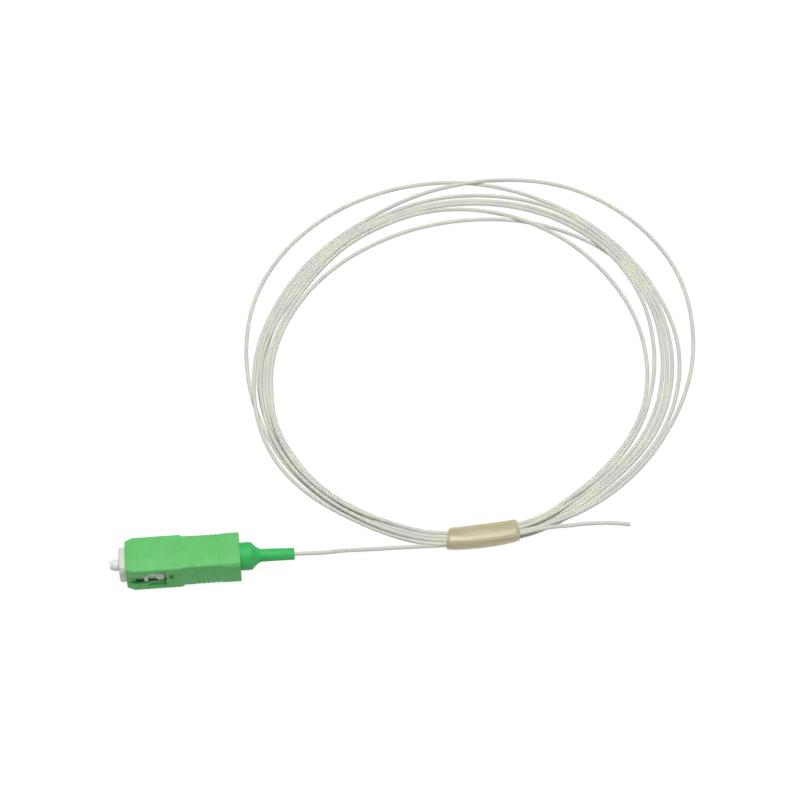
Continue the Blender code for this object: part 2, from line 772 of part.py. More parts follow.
def make_lead(material):
    """The fibre from inside the boot, down to the floor and along to the tie."""
    start = Vector((BOOT_REAR_X - BOOT_LEAD_IN, 0, AXIS_Z)) / MM
    mouth = Vector((BOOT_REAR_X, 0, AXIS_Z)) / MM
    points = smooth_route([start, mouth, *map(Vector, LEAD_ROUTE)], ROUTE_STEPS)
    return tube_curve("fibre_lead", points, FIBRE_DIAMETER / 2, material, 2)


def make_tail(material):
    """The fibre's free end, cut off bare."""
    points = smooth_route(TAIL_ROUTE, ROUTE_STEPS)
    return tube_curve("fibre_tail", points, FIBRE_DIAMETER / 2, material, 2)


def main():
    clear_scene()
    green = make_material("green_moulded_plastic", "5DBB6B", 0.40)
    white = make_material("white_moulded_plastic", "DDE3DA", 0.45)
    rubber = make_material("green_boot_rubber", "2F9E55", 0.55)
    ceramic = make_material("zirconia", "F2F2EE", 0.15)
    steel = make_material("stainless_steel", "B9BBBD", 0.30, 1.0)
    brass = make_material("nickel_plated_brass", "C9C2AE", 0.30, 1.0)
    buffer_coat = make_material("fibre_buffer", "D9DBD5", 0.35)
    sleeve = make_material("tie_sleeve_plastic", "C9C2A6", 0.40)

    make_coupling_sleeve(green)
    make_plug_frame(white)
    make_ferrule(ceramic)
    make_flange(brass)
    make_spring(steel)
    make_back_post(brass)
    make_boot(rubber)
    make_lead(buffer_coat)
    make_coil(buffer_coat)
    make_tail(buffer_coat)
    make_tie(sleeve)


main()
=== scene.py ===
import math

import bmesh
import bpy
import numpy as np
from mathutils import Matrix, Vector


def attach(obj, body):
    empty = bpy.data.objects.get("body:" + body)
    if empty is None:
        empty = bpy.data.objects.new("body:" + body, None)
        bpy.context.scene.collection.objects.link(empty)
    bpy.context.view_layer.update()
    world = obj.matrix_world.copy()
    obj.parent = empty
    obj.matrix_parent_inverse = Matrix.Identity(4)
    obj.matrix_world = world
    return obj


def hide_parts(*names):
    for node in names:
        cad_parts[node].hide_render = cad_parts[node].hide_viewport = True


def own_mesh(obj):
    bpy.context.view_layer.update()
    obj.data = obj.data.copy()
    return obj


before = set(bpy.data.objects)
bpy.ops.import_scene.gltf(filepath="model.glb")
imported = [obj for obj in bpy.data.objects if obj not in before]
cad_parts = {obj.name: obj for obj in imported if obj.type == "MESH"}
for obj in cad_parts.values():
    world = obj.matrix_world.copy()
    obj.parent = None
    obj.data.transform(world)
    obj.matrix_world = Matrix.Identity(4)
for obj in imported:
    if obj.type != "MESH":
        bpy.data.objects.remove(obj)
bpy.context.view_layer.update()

MM = 0.001

# The camera stands where the photograph was taken from, in millimetres and degrees.
CAMERA_PLACE = (13.84, -356.04, 557.61)
CAMERA_PITCH = 54.36
CAMERA_YAW = 4.74
CAMERA_LENS = 135.0
CAMERA_SENSOR = 36.0
CAMERA_CLIP = (0.01, 20.0)

# Light: a soft room, one large lamp overhead, and a floor bright enough to stay white.
ROOM_LIGHT = 0.08
LAMP_POWER = 16.5
LAMP_SIZE = 0.7
LAMP_PLACE = (0.05, 0.05, 1.1)
LAMP_AIM = (0.05, 0.03, 0.0)
FLOOR_GLOW = 0.95
FLOOR_REACH = 1.5

# The buffered fibre: its thickness, its bevel's steps, and its middle's height where it lies on the floor.
FIBRE = 0.9
FIBRE_RADIUS = FIBRE / 2
FIBRE_BEVEL = 5
FLOOR_REST = 0.46

# The winding's turns go round this point. They are read at one height, and one that lies higher is seen
# further out behind the middle and further in before it, by the sight's slope.
COIL_CENTRE = (64.35, 52.6)
READ_HEIGHT = 1.0
SIGHT_SLOPE = 0.65

# In the tie the fibre runs in four lanes and two levels. Its axis is given as angle and radius. The turns
# are held still for a few degrees on each side of its middle, and come loose over the reach that follows.
LANE = 0.93
TIE_AXIS = ((-102, 51.0), (-93, 49.9), (-84, 49.2))
TIE_FLOOR = 1.35
TIE_MIDDLE = TIE_FLOOR + LANE / 2
TIE_HELD = 6
TIE_REACH = 25

# Where each turn's radius is read, in degrees round the coil.
CLOCK = (-60, -30, 0, 30, 60, 90, 120, 150, 180, 210, 240)

# One row a turn, in the order they were wound: lane and level in the tie, then the radii round the clock.
TURNS = (
    (1.5, 0, (48.0, 47.9, 47.9, 47.3, 49.3, 52.3, 53.6, 53.4, 51.8, 51.6, 51.6)),
    (0.5, 0, (46.7, 46.5, 46.2, 46.6, 48.5, 47.9, 46.2, 46.5, 49.3, 50.6, 50.6)),
    (-0.5, 0, (45.9, 45.5, 45.1, 45.8, 46.9, 46.3, 45.3, 45.6, 48.1, 50.25, 50.25)),
    (-0.5, 1, (45.1, 44.4, 44.1, 45.3, 42.8, 40.3, 40.2, 42.6, 46.3, 49.65, 49.5)),
    (-1.5, 0, (43.8, 41.9, 40.1, 39.95, 41.8, 44.0, 44.2, 44.0, 47.2, 49.95, 49.85)),
    (-1.5, 1, (44.4, 42.4, 42.3, 44.3, 45.8, 45.5, 44.75, 44.85, 48.7, 51.2, 51.1)),
    (0.5, 1, (48.85, 48.8, 51.55, 55.35, 55.9, 51.15, 47.1, 47.3, 50.2, 53.25, 52.05)),
)
LAST_LANE = (1.5, 1)

# How the turns settle, with one point a degree. In each round a turn sinks a little and is pulled a share of
# the way back to its place, less so in the closing rounds, and then the turns are parted and evened.
SETTLE_ROUNDS = 400
CLOSING_FROM = 0.8
SINK_AND_PULL = (0.02, 0.08)
CLOSING_SINK_AND_PULL = (0.004, 0.02)
PARTINGS = 3
LAST_PARTINGS = 20
UNEVENED_ROUNDS = 30
LAST_EVENING = 8
CROSSING_MARGIN = 8
NOT_ZERO = 1e-9

# The fibre's ends: from the boot to the tie, and from the tie to the cut end.
LEAD_ROUTE = (
    (17.2, 0.0, 4.37),
    (20.2, 0.0, 4.2),
    (23.0, 0.0, 4.06),
    (26.4, 0.15, 3.62),
    (30.3, 0.86, 2.75),
    (34.2, 1.63, 1.5),
    (38.55, 2.03, 0.72),
    (42.9, 2.14, 0.5),
    (46.8, 1.97, 0.6),
    (50.3, 1.64, 1.0),
)
TAIL_ROUTE = (
    (73.6, 3.15, 2.15),
    (77.5, 4.0, 1.6),
    (81.6, 4.52, 0.95),
    (85.95, 4.98, 0.5),
    (90.4, 4.75, 0.5),
    (95.0, 3.98, 0.5),
)
ROUTE_STEP = 1.1

# The round that a mould leaves on the plug's edges, what counts as an edge and as flat, and how close two
# points are when they become one.
MOULD_ROUND = 0.07
MOULD_ROUND_STEPS = 2
EDGE_ANGLE = math.radians(30)
FLAT_ANGLE = math.radians(1)
MERGE_WITHIN = 0.06

# Turned pieces go round this line, along X.
AXIS_Z = 4.6
TURN_STEPS = 64
SEAM_WITHIN = 0.001

# The ceramic ferrule. Some stock stands on the tip until the slanted polish takes it off. The round at the
# cone's shoulder is given as places along X from it and depths under the full radius.
FERRULE_TIP = -20.2
FERRULE_REAR = -9.7
FERRULE_RADIUS = 1.25
FERRULE_TIP_RADIUS = 0.85
FERRULE_CONE = 1.0
FERRULE_CHAMFER = 0.2
SHOULDER_ROUND = ((-0.12, 0.08), (-0.03, 0.03), (0.12, 0.0))
POLISH_STOCK = 0.2
POLISH_STOCK_FALL = 0.13
POLISH_ANGLE = math.radians(8)
GLASS_RADIUS = 0.0625
GLASS_EDGE = 0.02

# The boot: socket in the grip, collar, cone and tube.
BOOT_FRONT = 3.35
COLLAR_FRONT = 6.5
COLLAR_REAR = 10.96
COLLAR_SHOWN = 2.66
CONE_REAR = 13.1
BOOT_REAR = 20.2
SLIM_RADIUS = 2.65
COLLAR_RADIUS = 3.1
NECK_RADIUS = 1.425
BOOT_END_RADIUS = 1.3
SOCKET_RADIUS = 2.3
SOCKET_END = 10.35
BOOT_BORE = 0.75
BORE_CHAMFER = 0.1
BOOT_LIP = 0.2
COLLAR_CROWN = 0.06
CONE_FULLNESS = 0.35
CONE_STEPS = 12
BOOT_DROOP = 0.4
DROOP_POWER = 1.5

# The tie: an oval sleeve, widest near its middle, given as angles round the coil. The place where it is
# widest is a share of half its length.
TIE_START = -101.6
TIE_END = -83.5
TIE_HEIGHT = 1.85
TIE_HALF_WIDTH = 2.75
TIE_HALF_HEIGHT = 1.84
TIE_WALL = 0.5
TIE_SIDES = 48
TIE_STATIONS = 24
TIE_SQUARENESS = 0.8
TIE_PINCH = 0.09
TIE_WIDEST = 0.95
TIE_LIP_REACH = 0.8
TIE_LIP_TURN = 0.3

# The materials' patterns: what a wave texture of scale 1 repeats at, the real sizes of rings, marks and
# clouds, and how far the tie's painted highlight streaks are drawn out lengthwise.
WAVE_REPEAT = 0.3
GRINDING_RING = 0.15
TURNING_RING = 0.15
WIRE_MARK = 0.4
BUFFER_CLOUD = 6.0
STREAK_STRETCH = 0.12


# Camera

def add_camera():
    """The camera at the photograph's viewing angle."""
    pitch = math.radians(CAMERA_PITCH)
    yaw = math.radians(CAMERA_YAW)
    ahead = Vector((
        math.sin(yaw) * math.cos(pitch),
        math.cos(yaw) * math.cos(pitch),
        -math.sin(pitch),
    ))
    data = bpy.data.cameras.new("camera")
    data.lens = CAMERA_LENS
    data.sensor_width = CAMERA_SENSOR
    data.clip_start, data.clip_end = CAMERA_CLIP
    camera = bpy.data.objects.new("camera", data)
    camera.location = Vector(CAMERA_PLACE) * MM
    camera.rotation_mode = "QUATERNION"
    camera.rotation_quaternion = ahead.to_track_quat("-Z", "Y")
    bpy.context.scene.collection.objects.link(camera)
    bpy.context.scene.camera = camera


# The winding

def curve_through(angles, values, at):
    """Cubic through the values, evened at each one, read at the angles in at."""
    angles = np.asarray(angles, float)
    values = np.asarray(values, float)
    slope = np.gradient(values, angles)
    left = np.searchsorted(angles, at, side="right") - 1
    left = np.clip(left, 0, len(angles) - 2)
    span = angles[left + 1] - angles[left]
    t = (at - angles[left]) / span
    start = (2 * t**3 - 3 * t**2 + 1) * values[left]
    end = (3 * t**2 - 2 * t**3) * values[left + 1]
    lean_out = (t**3 - 2 * t**2 + t) * span * slope[left]
    lean_in = (t**3 - t**2) * span * slope[left + 1]
    return start + end + lean_out + lean_in


def wanted_turns(at):
    """The turns' radii as read, and their heights in the tie."""
    radii = []
    heights = []
    lift = (TIE_MIDDLE - READ_HEIGHT) * SIGHT_SLOPE
    for row, (lane, level, read) in enumerate(TURNS):
        next_lane, next_level = (*TURNS, LAST_LANE)[row + 1][:2]
        angles = []
        values = []
        for angle, radius in TIE_AXIS:
            angles.append(angle)
            values.append(radius - lift + lane * LANE)
        angles.extend(CLOCK)
        values.extend(read)
        for angle, radius in TIE_AXIS:
            angles.append(angle + 360)
            values.append(radius - lift + next_lane * LANE)
        radii.append(curve_through(angles, values, at))
        heights.append(TIE_FLOOR + np.where(at > CLOCK[-1], next_level, level) * LANE)
    return np.array(radii), np.array(heights)


def crossing_zones(radii):
    """For each two turns, where they change sides, with a few degrees before and after."""
    zones = {}
    for lower in range(len(radii)):
        for upper in range(lower + 1, len(radii)):
            side = np.sign(radii[upper] - radii[lower])
            zone = np.zeros(radii.shape[1], bool)
            for change in np.flatnonzero(side[1:] != side[:-1]):
                zone[max(0, change - CROSSING_MARGIN):change + CROSSING_MARGIN + 1] = True
            zones[lower, upper] = zone
    return zones


def evened(values, passes=4):
    """Smooths a row of numbers along the whole fibre, since stiff fibre bends only gently."""
    line = values.ravel().copy()
    for _ in range(passes):
        line[1:-1] = 0.5 * line[1:-1] + 0.25 * (line[:-2] + line[2:])
    return line.reshape(values.shape)


def part_turns(radii, heights, zones):
    """Pushes turns apart that lie in each other: up and down where they cross, else the short way."""
    for (lower, upper), zone in zones.items():
        across = radii[upper] - radii[lower]
        rise = heights[upper] - heights[lower]
        wanted = np.sqrt(np.maximum(0, FIBRE**2 - across**2))
        lift = np.where(zone, np.maximum(0, wanted - rise), 0) / 2
        apart = np.hypot(across, rise) + NOT_ZERO
        sunk = np.where(zone, 0, np.maximum(0, FIBRE - apart)) / 2
        radii[upper] += sunk * across / apart
        radii[lower] -= sunk * across / apart
        heights[upper] += lift + sunk * rise / apart
        heights[lower] -= lift + sunk * rise / apart


def settle_turns(at):
    """Lets the turns sink onto the floor and each other, each near the place that it was read at."""
    read, held_heights = wanted_turns(at)
    zones = crossing_zones(read)
    from_tie = np.minimum(at - at[0], at[-1] - at)
    held = from_tie <= TIE_HELD
    loose = np.clip((from_tie - TIE_HELD) / TIE_REACH, 0, 1)
    sight = SIGHT_SLOPE * np.sin(np.radians(at))
    order = np.arange(len(TURNS))[:, None]
    heights = np.where(held, held_heights, FIBRE_RADIUS + order * FIBRE_RADIUS)
    radii = read.copy()
    for count in range(SETTLE_ROUNDS):
        closing = count > SETTLE_ROUNDS * CLOSING_FROM
        sink, pull = CLOSING_SINK_AND_PULL if closing else SINK_AND_PULL
        place = read - (TIE_MIDDLE + (heights - TIE_MIDDLE) * loose - READ_HEIGHT) * sight
        heights = heights - sink
        radii = radii + (place - radii) * pull
        for _ in range(PARTINGS):
            part_turns(radii, heights, zones)
            heights = np.where(held, held_heights, np.maximum(heights, FLOOR_REST))
            radii = np.where(held, place, radii)
        if count < SETTLE_ROUNDS - UNEVENED_ROUNDS:
            heights = evened(heights)
            radii = place + evened(radii - place)
            heights = np.where(held, held_heights, np.maximum(heights, FLOOR_REST))
            radii = np.where(held, place, radii)
    radii = place + evened(radii - place, LAST_EVENING)
    heights = evened(heights, LAST_EVENING)
    for _ in range(LAST_PARTINGS):
        part_turns(radii, heights, zones)
        heights = evened(np.maximum(heights, FLOOR_REST), 1)
    return radii, np.maximum(heights, FLOOR_REST)


def smooth_route(points):
    """Even steps along a smooth curve through the points."""
    points = np.array(points)
    reach = np.concatenate(([0], np.cumsum(np.linalg.norm(np.diff(points, axis=0), axis=1))))
    steps = np.linspace(0, reach[-1], max(2, int(reach[-1] / ROUTE_STEP)))
    return np.column_stack([curve_through(reach, points[:, axis], steps) for axis in range(3)])


def fibre_route():
    """The whole fibre's middle line in millimetres: lead, seven turns, tail."""
    start = TIE_AXIS[1][0]
    at = np.arange(start, start + 360, 1.0)
    radii, heights = settle_turns(at)
    turns = []
    for row in range(len(TURNS)):
        for angle, radius, height in zip(np.radians(at), radii[row], heights[row]):
            turns.append((
                COIL_CENTRE[0] + radius * math.cos(angle),
                COIL_CENTRE[1] + radius * math.sin(angle),
                height,
            ))
    lead = [*LEAD_ROUTE]
    for angle, radius in TIE_AXIS[:2]:
        lead.append(tie_point(angle, radius, TURNS[0]))
    tail = []
    for angle, radius in TIE_AXIS[1:]:
        tail.append(tie_point(angle, radius, LAST_LANE))
    tail.extend(TAIL_ROUTE)
    return np.vstack((smooth_route(lead)[:-1], turns, smooth_route(tail)))


def tie_point(angle, radius, lane):
    """A point of the tie's axis, moved to a lane and level."""
    out = radius + lane[0] * LANE
    return (
        COIL_CENTRE[0] + out * math.cos(math.radians(angle)),
        COIL_CENTRE[1] + out * math.sin(math.radians(angle)),
        TIE_FLOOR + lane[1] * LANE,
    )


def make_fibre(material):
    """The buffered fibre as one long cord, cut off at its far end."""
    points = fibre_route() * MM
    data = bpy.data.curves.new("fibre", "CURVE")
    data.dimensions = "3D"
    data.bevel_depth = FIBRE_RADIUS * MM
    data.bevel_resolution = FIBRE_BEVEL
    data.use_fill_caps = True
    data.twist_mode = "MINIMUM"
    line = data.splines.new("POLY")
    line.points.add(len(points) - 1)
    for point, place in zip(line.points, points):
        point.co = (*place, 1.0)
    line.use_smooth = True
    fibre = bpy.data.objects.new("fibre", data)
    bpy.context.scene.collection.objects.link(fibre)
    data.materials.append(material)
    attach(fibre, "plug")
    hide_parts("fibre_lead", "fibre_coil", "fibre_tail")


# Pieces

def add_piece(name, shape, material, body, replaced):
    """Makes a shape a finished piece on its body, in place of a solid."""
    mesh = bpy.data.meshes.new(name)
    shape.to_mesh(mesh)
    shape.free()
    mesh.shade_smooth()
    mesh.set_sharp_from_angle(angle=EDGE_ANGLE)
    mesh.materials.append(material)
    piece = bpy.data.objects.new(name, mesh)
    bpy.context.scene.collection.objects.link(piece)
    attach(piece, body)
    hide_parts(replaced)
    return piece


def rounded_moulding(node):
    """A solid of the frame with its flat faces made whole and its edges rounded."""
    shape = bmesh.new()
    shape.from_mesh(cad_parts[node].data)
    bmesh.ops.remove_doubles(shape, verts=shape.verts[:], dist=MERGE_WITHIN * MM)
    bmesh.ops.dissolve_limit(
        shape,
        angle_limit=FLAT_ANGLE,
        verts=shape.verts[:],
        edges=shape.edges[:],
    )
    sharp = [edge for edge in shape.edges if edge.calc_face_angle(0) > EDGE_ANGLE]
    bmesh.ops.bevel(
        shape,
        geom=sharp,
        offset=MOULD_ROUND * MM,
        offset_type="OFFSET",
        affect="EDGES",
        segments=MOULD_ROUND_STEPS,
        profile=0.5,
        material=-1,
        clamp_overlap=True,
    )
    return shape


def turned(profile):
    """A closed outline of (along X, radius) points in millimetres, turned round the plug's axis."""
    shape = bmesh.new()
    verts = [shape.verts.new((x * MM, 0, (AXIS_Z + radius) * MM)) for x, radius in profile]
    edges = [shape.edges.new(pair) for pair in zip(verts, verts[1:] + verts[:1])]
    bmesh.ops.spin(
        shape,
        geom=verts + edges,
        cent=(0, 0, AXIS_Z * MM),
        axis=(1, 0, 0),
        angle=2 * math.pi,
        steps=TURN_STEPS,
        use_merge=True,
    )
    bmesh.ops.remove_doubles(shape, verts=shape.verts[:], dist=SEAM_WITHIN * MM)
    bmesh.ops.recalc_face_normals(shape, faces=shape.faces[:])
    return shape


def arc(x, radius, size, first, last, steps=4):
    """Points on a small round of a turned outline, from one angle to another in degrees."""
    points = []
    for step in range(steps + 1):
        angle = math.radians(first + (last - first) * step / steps)
        points.append((x + size * math.cos(angle), radius + size * math.sin(angle)))
    return points


def make_ferrule(material):
    """The ceramic pin: coned tip, polished flat at eight degrees."""
    shoulder = FERRULE_TIP + FERRULE_CONE
    profile = [
        (FERRULE_TIP - POLISH_STOCK, 0.0),
        (FERRULE_TIP - POLISH_STOCK, FERRULE_TIP_RADIUS - POLISH_STOCK_FALL),
        (FERRULE_TIP, FERRULE_TIP_RADIUS),
        *[(shoulder + along, FERRULE_RADIUS - depth) for along, depth in SHOULDER_ROUND],
        (FERRULE_REAR - FERRULE_CHAMFER, FERRULE_RADIUS),
        (FERRULE_REAR, FERRULE_RADIUS - FERRULE_CHAMFER),
        (FERRULE_REAR, 0.0),
    ]
    shape = turned(profile)
    bmesh.ops.bisect_plane(
        shape,
        geom=shape.verts[:] + shape.edges[:] + shape.faces[:],
        plane_co=(FERRULE_TIP * MM, 0, (AXIS_Z + FERRULE_TIP_RADIUS) * MM),
        plane_no=(-1, 0, -math.tan(POLISH_ANGLE)),
        clear_outer=True,
    )
    rim = [edge for edge in shape.edges if edge.is_boundary]
    bmesh.ops.holes_fill(shape, edges=rim, sides=0)
    bmesh.ops.recalc_face_normals(shape, faces=shape.faces[:])
    return add_piece("ceramic_ferrule", shape, material, "ferrule_assembly", "ferrule")


def boot_droop(x):
    """How far the soft boot sags under the fibre's pull, behind its collar's middle."""
    start = COLLAR_REAR - COLLAR_SHOWN / 2
    share = (x - start) / (BOOT_REAR - start)
    return BOOT_DROOP * max(0.0, share) ** DROOP_POWER


def make_boot(material):
    """The soft boot: a collar in the grip's mouth, a waisted cone and a slim tube."""
    lip = BOOT_LIP
    profile = [
        (BOOT_FRONT, SOCKET_RADIUS),
        (BOOT_FRONT, SLIM_RADIUS),
        (COLLAR_FRONT, SLIM_RADIUS),
        *arc(COLLAR_FRONT + lip, COLLAR_RADIUS - COLLAR_CROWN - lip, lip, 180, 90),
        ((COLLAR_FRONT + COLLAR_REAR) / 2, COLLAR_RADIUS - COLLAR_CROWN / 2),
        (COLLAR_REAR - COLLAR_SHOWN / 2, COLLAR_RADIUS),
        *arc(COLLAR_REAR - lip, COLLAR_RADIUS - COLLAR_CROWN - lip, lip, 90, 30),
    ]
    start, high = profile[-1]
    for step in range(1, CONE_STEPS + 1):
        share = step / CONE_STEPS
        fall = (1 - share) ** 2 * (1 + CONE_FULLNESS * share)
        profile.append((start + (CONE_REAR - start) * share, NECK_RADIUS + (high - NECK_RADIUS) * fall))
    profile.append(((CONE_REAR + BOOT_REAR) / 2, (NECK_RADIUS + BOOT_END_RADIUS) / 2))
    profile.extend(arc(BOOT_REAR - lip, BOOT_END_RADIUS - lip, lip, 90, 0))
    profile.append((BOOT_REAR, BOOT_BORE + BORE_CHAMFER))
    profile.append((BOOT_REAR - BORE_CHAMFER, BOOT_BORE))
    profile.append((SOCKET_END, BOOT_BORE))
    profile.append((SOCKET_END, SOCKET_RADIUS))
    shape = turned(profile)
    for vert in shape.verts:
        vert.co.z -= boot_droop(vert.co.x / MM) * MM
    return add_piece("soft_boot", shape, material, "plug", "boot")


def tie_ring(shape, along, depth):
    """One oval round the bundle: along the tie in millimetres, and how deep in the wall."""
    share = along / tie_length()
    angle = math.radians(TIE_START + (TIE_END - TIE_START) * share)
    stations, radii = zip(*TIE_AXIS)
    middle = float(curve_through(stations, radii, np.array([math.degrees(angle)]))[0])
    narrower = 1 - TIE_PINCH * (2 * share - TIE_WIDEST) ** 2
    from_end = min(along, tie_length() - along)
    inwards = max(0.0, 1 - from_end / TIE_LIP_REACH)
    turned_in = TIE_LIP_TURN * (1 - math.sqrt(1 - inwards**2))
    half_width = TIE_HALF_WIDTH * narrower - depth - turned_in
    half_height = TIE_HALF_HEIGHT - depth - turned_in
    ring = bmesh.ops.create_circle(shape, segments=TIE_SIDES, radius=1.0)["verts"]
    for vert in ring:
        across = math.copysign(abs(vert.co.x) ** TIE_SQUARENESS, vert.co.x)
        up = math.copysign(abs(vert.co.y) ** TIE_SQUARENESS, vert.co.y)
        radius = middle + across * half_width
        vert.co = Vector((
            COIL_CENTRE[0] + radius * math.cos(angle),
            COIL_CENTRE[1] + radius * math.sin(angle),
            TIE_HEIGHT + up * half_height,
        )) * MM
    return list({edge for vert in ring for edge in vert.link_edges})


def tie_length():
    """The tie's length along its axis."""
    return math.radians(TIE_END - TIE_START) * TIE_AXIS[1][1]


def make_tie(material):
    """The sleeve round the bundle, open at both ends, with rounded lips."""
    lip = TIE_WALL / 2
    length = tie_length()
    outside = [(lip + (length - 2 * lip) * step / TIE_STATIONS, 0.0) for step in range(TIE_STATIONS + 1)]
    inside = [(along, TIE_WALL) for along, _ in reversed(outside)]
    far_lip = arc(length - lip, lip, lip, -60, 60)
    near_lip = arc(lip, lip, lip, 120, 240)
    shape = bmesh.new()
    rings = [tie_ring(shape, *place) for place in (*outside, *far_lip, *inside, *near_lip)]
    for ring, following in zip(rings, rings[1:] + rings[:1]):
        bmesh.ops.bridge_loops(shape, edges=ring + following)
    bmesh.ops.recalc_face_normals(shape, faces=shape.faces[:])
    return add_piece("tie_sleeve", shape, material, "plug", "coil_tie")


def make_spring(material):
    """The hidden spring, copied from the solid as it is."""
    shape = bmesh.new()
    shape.from_mesh(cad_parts["ferrule_spring"].data)
    spring = add_piece("wire_spring", shape, material, "plug", "ferrule_spring")
    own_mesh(spring)


# Materials

def linear(hex_colour):
    """An sRGB hex colour as linear red, green, blue and alpha."""
    parts = []
    for start in (0, 2, 4):
        value = int(hex_colour[start:start + 2], 16) / 255
        parts.append(value / 12.92 if value <= 0.04045 else ((value + 0.055) / 1.055) ** 2.4)
    return (*parts, 1.0)


def add_node(tree, kind, settings=None, links=None):
    """Adds a node, sets its sockets or properties, and links its inputs."""
    made = tree.nodes.new(kind)
    for name, value in (settings or {}).items():
        if isinstance(name, int) or name in made.inputs:
            made.inputs[name].default_value = value
        else:
            setattr(made, name, value)
    for name, source in (links or {}).items():
        tree.links.new(source, made.inputs[name])
    return made


def new_material(name):
    """An empty material with its tree and its pieces' own coordinates, in millimetres."""
    material = bpy.data.materials.new(name)
    material.use_nodes = True
    tree = material.node_tree
    tree.nodes.clear()
    place = add_node(tree, "ShaderNodeTexCoord")
    in_mm = add_node(tree, "ShaderNodeVectorMath", {"operation": "SCALE", "Scale": 1 / MM}, {
        "Vector": place.outputs["Object"],
    })
    return material, tree, in_mm.outputs["Vector"]


def two_tones(tree, share, low, high, spread=(0.3, 0.7)):
    """Blends between two colours over a part of a pattern's range."""
    ramp = add_node(tree, "ShaderNodeValToRGB", links={"Fac": share})
    ramp.color_ramp.elements[0].position = spread[0]
    ramp.color_ramp.elements[0].color = linear(low)
    ramp.color_ramp.elements[1].position = spread[1]
    ramp.color_ramp.elements[1].color = linear(high)
    return ramp.outputs["Color"]


def use_shader(tree, settings, links=None):
    """The surface's shader, and the material's output."""
    shader = add_node(tree, "ShaderNodeBsdfPrincipled", settings, links)
    add_node(tree, "ShaderNodeOutputMaterial", links={"Surface": shader.outputs["BSDF"]})


def moulded_plastic(name, low, high, roughness, settings, grain=0.3, mottle=2.5):
    """Injection-moulded plastic: uneven flow of the colour, and the mould's fine spark-eroded grain."""
    material, tree, place = new_material(name)
    flow = add_node(tree, "ShaderNodeTexNoise", {"Scale": 1 / mottle, "Detail": 3.0}, {"Vector": place})
    colour = two_tones(tree, flow.outputs["Fac"], low, high)
    pits = add_node(tree, "ShaderNodeTexNoise", {"Scale": 1 / grain, "Detail": 2.0}, {"Vector": place})
    gloss = add_node(tree, "ShaderNodeMapRange", {
        "From Min": 0.3, "From Max": 0.7, "To Min": roughness - 0.05, "To Max": roughness + 0.07,
    }, {"Value": pits.outputs["Fac"]})
    relief = add_node(tree, "ShaderNodeBump", {"Strength": 0.35, "Distance": 0.012 * MM}, {
        "Height": pits.outputs["Fac"],
    })
    use_shader(tree, settings, {
        "Base Color": colour,
        "Roughness": gloss.outputs["Result"],
        "Normal": relief.outputs["Normal"],
    })
    return material


def green_pbt():
    # PBT moulding in the green of angled plugs: an even, slightly waxy satin with a spark-eroded skin.
    # Its real grain is about 0.05 mm; it is drawn at 0.3 mm, the finest that shows.
    return moulded_plastic("moulded_green_pbt", "59AC61", "60B568", 0.48, {
        "Specular IOR Level": 0.2,
        "Subsurface Weight": 0.08,
        "Subsurface Scale": 0.4 * MM,
    })


def white_pbt():
    # Unfilled natural PBT: a cool white, with a green tint in its colour that is a painted reflection of the
    # green grip round it.
    return moulded_plastic("moulded_white_pbt", "BBC3B8", "C5CDC1", 0.36, {
        "Subsurface Weight": 0.15,
        "Subsurface Scale": 0.6 * MM,
    })


def boot_tpe():
    # Thermoplastic rubber, moulded with a soft satin skin: deeper green than the grip.
    return moulded_plastic("moulded_green_tpe", "2EA352", "3AB05E", 0.5, {
        "Specular IOR Level": 0.2,
        "Subsurface Weight": 0.1,
        "Subsurface Scale": 0.5 * MM,
        "Sheen Weight": 0.1,
    }, grain=0.35, mottle=1.8)


def zirconia():
    # Zirconia, centreless ground and then polished at the tip: bright, hard and faintly ringed.
    # The glass fibre shows as a dot at the middle of the tip.
    material, tree, place = new_material("ground_zirconia")
    parts = add_node(tree, "ShaderNodeSeparateXYZ", links={"Vector": place})
    height = add_node(tree, "ShaderNodeMath", {"operation": "SUBTRACT", 1: AXIS_Z}, {0: parts.outputs["Z"]})
    across = add_node(tree, "ShaderNodeCombineXYZ", links={
        "X": parts.outputs["Y"], "Y": height.outputs["Value"],
    })
    radius = add_node(tree, "ShaderNodeVectorMath", {"operation": "LENGTH"}, {
        "Vector": across.outputs["Vector"],
    })
    glass = add_node(tree, "ShaderNodeMapRange", {
        "From Min": GLASS_RADIUS, "From Max": GLASS_RADIUS + GLASS_EDGE, "To Min": 1.0, "To Max": 0.0,
    }, {"Value": radius.outputs["Value"]})
    grinding = add_node(tree, "ShaderNodeTexWave", {
        "wave_type": "BANDS", "bands_direction": "X",
        "Scale": WAVE_REPEAT / GRINDING_RING, "Distortion": 1.5, "Detail": 3.0,
    }, {"Vector": place})
    body = two_tones(tree, grinding.outputs["Fac"], "CECECB", "D6D6D4", (0.0, 1.0))
    # A Mix node's two colours are its inputs 6 and 7, and its mixed colour is output 2.
    colour = add_node(tree, "ShaderNodeMix", {"data_type": "RGBA", 7: linear("3A4046")}, {
        "Factor": glass.outputs["Result"], 6: body,
    })
    gloss = add_node(tree, "ShaderNodeMapRange", {"To Min": 0.5, "To Max": 0.58}, {
        "Value": grinding.outputs["Fac"],
    })
    use_shader(tree, {"IOR": 1.7, "Specular IOR Level": 0.25}, {
        "Base Color": colour.outputs[2],
        "Roughness": gloss.outputs["Result"],
    })
    return material


